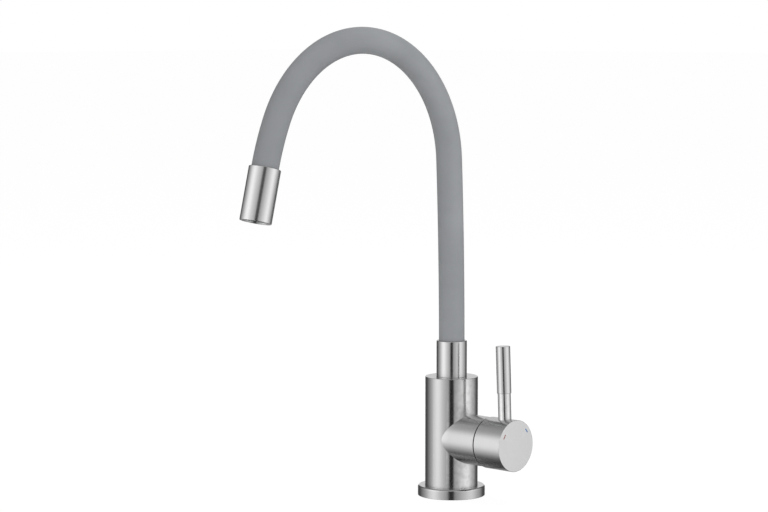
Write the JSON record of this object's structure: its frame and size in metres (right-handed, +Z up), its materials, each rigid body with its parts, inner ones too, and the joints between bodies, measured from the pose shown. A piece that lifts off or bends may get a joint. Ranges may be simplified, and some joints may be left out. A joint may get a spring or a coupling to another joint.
{
  "type": "kitchen mixer tap",
  "caption": "Single-lever kitchen mixer tap: brushed steel column, side valve with pin lever, and a self-supporting grey flexible hose spout with an aerator outlet.",
  "frame": {"origin": "centre of the foot flange's underside, on the deck plane", "axes": "+Z up along the column, -Y towards the user and along the spout, +X along the side valve's axis out of the lever hub"},
  "size_m": [0.1024, 0.2724, 0.403],
  "materials": {
    "brushed_steel": "satin stainless steel, brushed around its turned surfaces",
    "polished_steel": "bright turned steel",
    "gooseneck_steel": "plain interlocked steel strip",
    "brass": "machined brass",
    "silicone_grey": "matte silicone, mid grey",
    "hose_tube": "flexible water tube, milky",
    "seal_rubber": "black seal rubber",
    "white_plastic": "white acetal",
    "grey_plastic": "grey moulded plastic",
    "black_plastic": "black moulded acetal",
    "ceramic": "lapped alumina ceramic",
    "hot_red": "red enamel inlay",
    "cold_blue": "blue enamel inlay"
  },
  "bodies": {
    "tap_body": {"base_flange": "brushed_steel", "deck_gasket": "seal_rubber", "column_tube": "brushed_steel", "side_arm": "brushed_steel", "waterway_block": "brass", "spout_lock_screw": "polished_steel", "slip_washer": "white_plastic", "cartridge_cup": "brass", "cartridge_base": "grey_plastic", "port_seals": "seal_rubber", "fixed_ceramic_disc": "ceramic", "cartridge_housing": "grey_plastic", "cartridge_nut": "brass", "dome_ring": "black_plastic"},
    "spout_base": {"spout_stem": "brass", "spout_o_rings": "seal_rubber", "spout_collar": "brushed_steel", "lower_ferrule": "gooseneck_steel", "hose_sleeve_0": "silicone_grey", "gooseneck_0": "gooseneck_steel", "water_tube_0": "hose_tube"},
    "mixing_rotor": {"cartridge_rotor": "grey_plastic", "pivot_pin": "polished_steel", "rotor_seal": "seal_rubber"},
    "lever": {"spindle": "polished_steel", "lever_hub": "brushed_steel", "hub_set_screw": "polished_steel", "set_screw_plug": "grey_plastic", "lever_stem": "brushed_steel", "lever_grip": "brushed_steel", "hot_mark": "hot_red", "cold_mark": "cold_blue"},
    "valve_slider": {"disc_carrier": "white_plastic", "moving_ceramic_disc": "ceramic"},
    "hose_1": {"hose_sleeve_1": "silicone_grey", "gooseneck_1": "gooseneck_steel", "water_tube_1": "hose_tube"},
    "hose_2": {"hose_sleeve_2": "silicone_grey", "gooseneck_2": "gooseneck_steel", "water_tube_2": "hose_tube"},
    "hose_3": {"hose_sleeve_3": "silicone_grey", "gooseneck_3": "gooseneck_steel", "water_tube_3": "hose_tube"},
    "hose_4": {"hose_sleeve_4": "silicone_grey", "gooseneck_4": "gooseneck_steel", "water_tube_4": "hose_tube"},
    "hose_5": {"hose_sleeve_5": "silicone_grey", "gooseneck_5": "gooseneck_steel", "water_tube_5": "hose_tube"},
    "hose_6": {"hose_sleeve_6": "silicone_grey", "gooseneck_6": "gooseneck_steel", "water_tube_6": "hose_tube", "outlet_sleeve": "brushed_steel", "outlet_nipple": "brass", "upper_ferrule": "gooseneck_steel", "aerator_washer": "seal_rubber", "aerator_housing": "brass", "aerator_insert": "white_plastic", "aerator_screen": "polished_steel"}
  },
  "joints": [
    {"name": "spout_swivel", "type": "hinge", "parent": "tap_body", "child": "spout_base", "pos_m": [0, 0, 0.09], "axis": [0, 0, 1], "continuous": true},
    {"name": "hose_bend_1", "type": "hinge", "parent": "spout_base", "child": "hose_1", "pos_m": [0, -0.00762, 0.31395], "axis": [1, 0, 0], "range_deg": [-10, 6]},
    {"name": "hose_bend_2", "type": "hinge", "parent": "hose_1", "child": "hose_2", "pos_m": [0, -0.0299, 0.3554], "axis": [1, 0, 0], "range_deg": [-10, 6]},
    {"name": "hose_bend_3", "type": "hinge", "parent": "hose_2", "child": "hose_3", "pos_m": [0, -0.06787, 0.38319], "axis": [1, 0, 0], "range_deg": [-10, 6]},
    {"name": "hose_bend_4", "type": "hinge", "parent": "hose_3", "child": "hose_4", "pos_m": [0, -0.11411, 0.39189], "axis": [1, 0, 0], "range_deg": [-10, 6]},
    {"name": "hose_bend_5", "type": "hinge", "parent": "hose_4", "child": "hose_5", "pos_m": [0, -0.15959, 0.37979], "axis": [1, 0, 0], "range_deg": [-10, 6]},
    {"name": "hose_bend_6", "type": "hinge", "parent": "hose_5", "child": "hose_6", "pos_m": [0, -0.19539, 0.34926], "axis": [1, 0, 0], "range_deg": [-10, 6]},
    {"name": "temperature_turn", "type": "hinge", "parent": "tap_body", "child": "mixing_rotor", "pos_m": [0.0361, 0, 0.0506], "axis": [1, 0, 0], "range_deg": [-50, 50]},
    {"name": "flow_tilt", "type": "hinge", "parent": "mixing_rotor", "child": "lever", "pos_m": [0.0361, 0, 0.0506], "axis": [0, 1, 0], "range_deg": [0, 22]},
    {"name": "disc_slide", "type": "slide", "parent": "mixing_rotor", "child": "valve_slider", "axis": [0, 0, 1], "range_m": [0, 0.003]}
  ],
  "couplings": [
    {"joint": "disc_slide", "follows": "flow_tilt", "m_per_rad": 0.00745}
  ]
}
